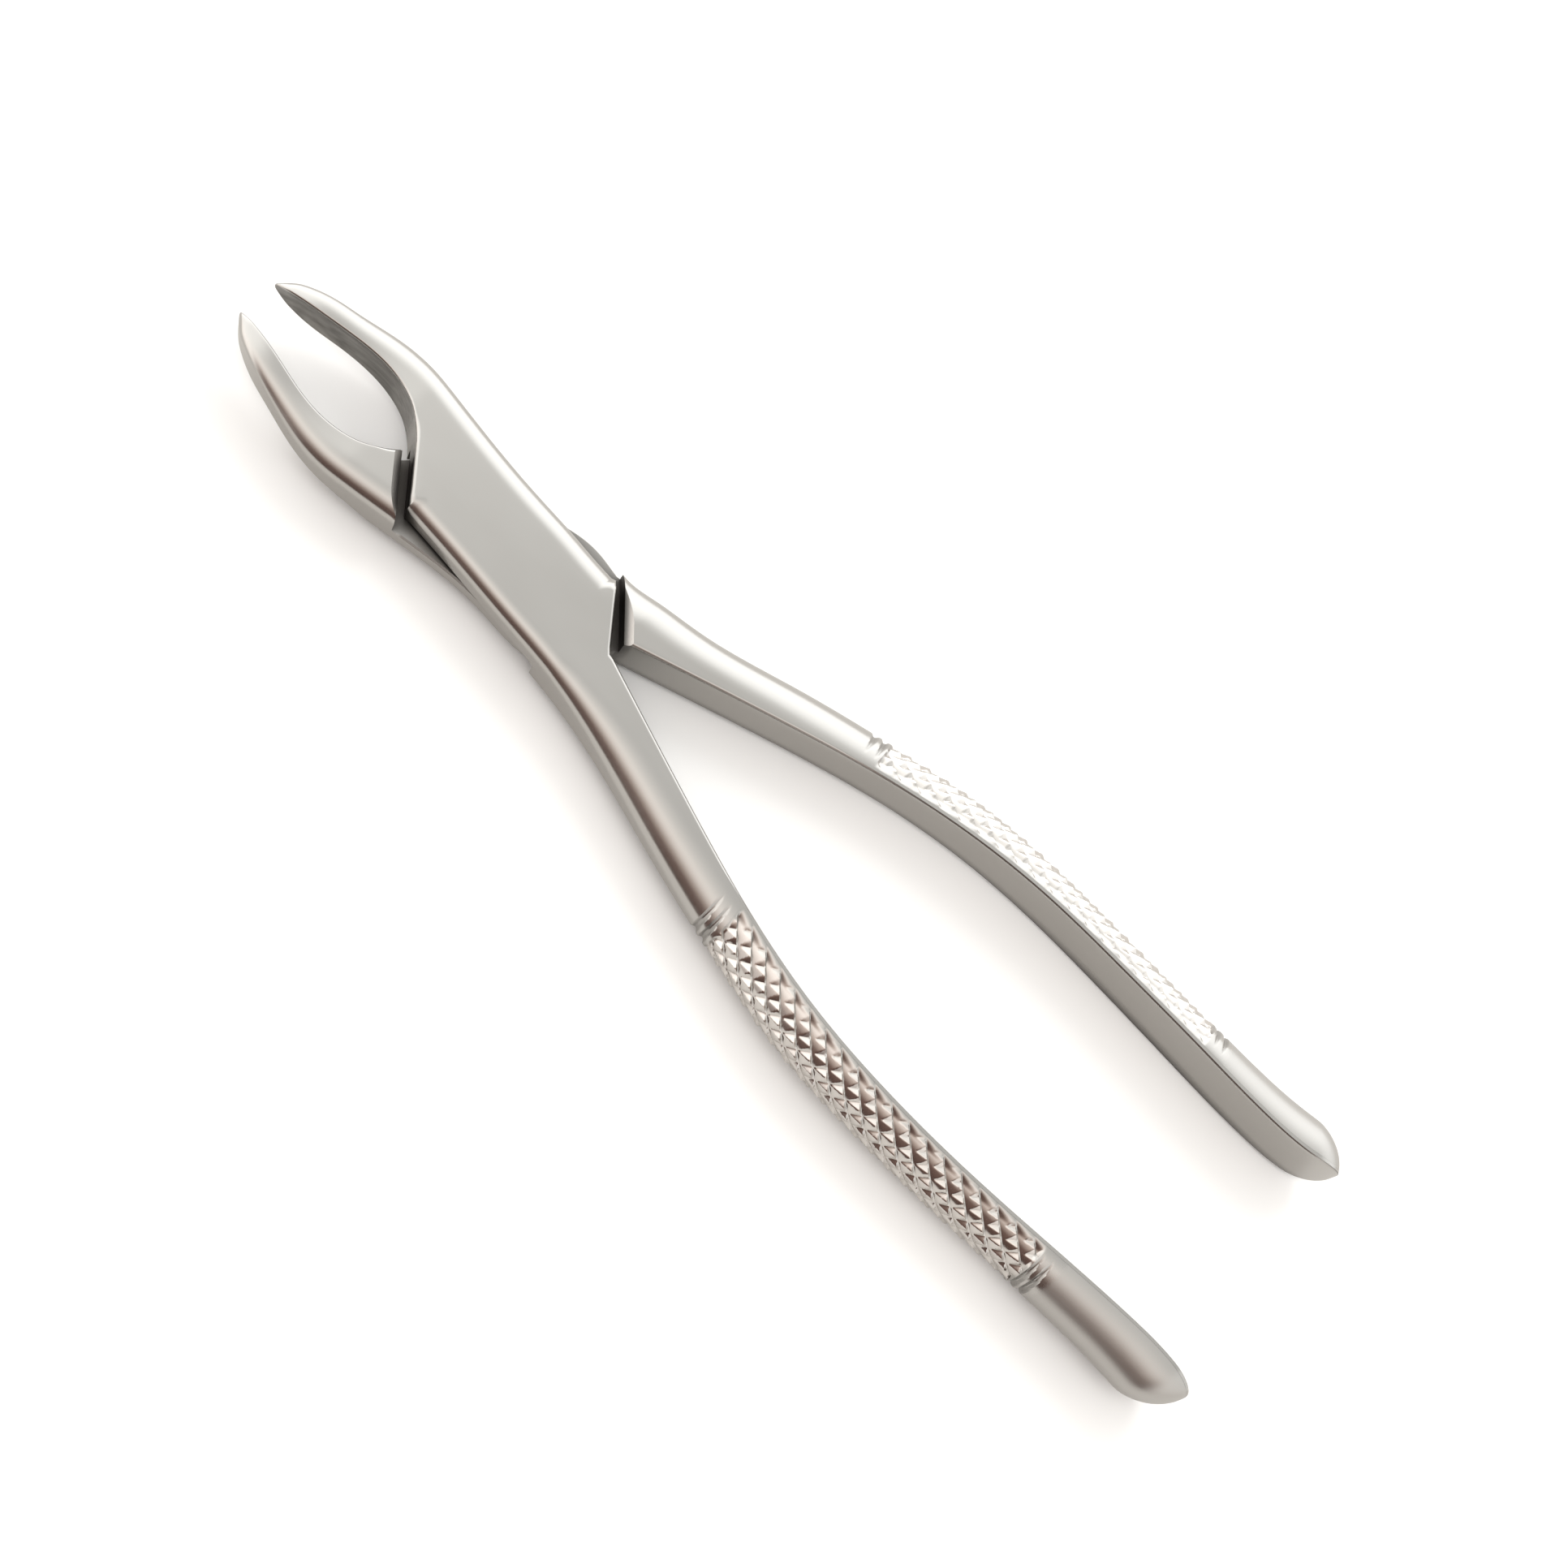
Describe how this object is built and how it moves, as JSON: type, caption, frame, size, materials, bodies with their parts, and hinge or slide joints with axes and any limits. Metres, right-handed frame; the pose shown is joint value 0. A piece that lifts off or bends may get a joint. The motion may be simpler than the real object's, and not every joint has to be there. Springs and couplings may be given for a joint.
{
  "type": "extraction forceps",
  "caption": "Dental extraction forceps with curved concave beaks, a lap joint turning on a flush screw, and bowed D-section handles for a palm grip.",
  "frame": {"origin": "where the pivot axis meets the flat top face of the joint", "axes": "+X towards the beak tips along the line midway between the handles, +Z along the pivot axis out of the joint's top face, +Y completes a right-handed frame; the upper half's handle is on +Y"},
  "size_m": [0.1789, 0.046, 0.0114],
  "materials": {
    "forged_steel": "satin",
    "screw_steel": "satin"
  },
  "bodies": {
    "upper_body": {"upper_half": "forged_steel", "pivot_screw": "screw_steel"},
    "lower_body": {"lower_half": "forged_steel"}
  },
  "joints": [
    {"name": "pivot", "type": "hinge", "parent": "upper_body", "child": "lower_body", "pos_m": [0, 0, -0.00415], "axis": [0, 0, 1], "range_deg": [-6, 60]}
  ]
}
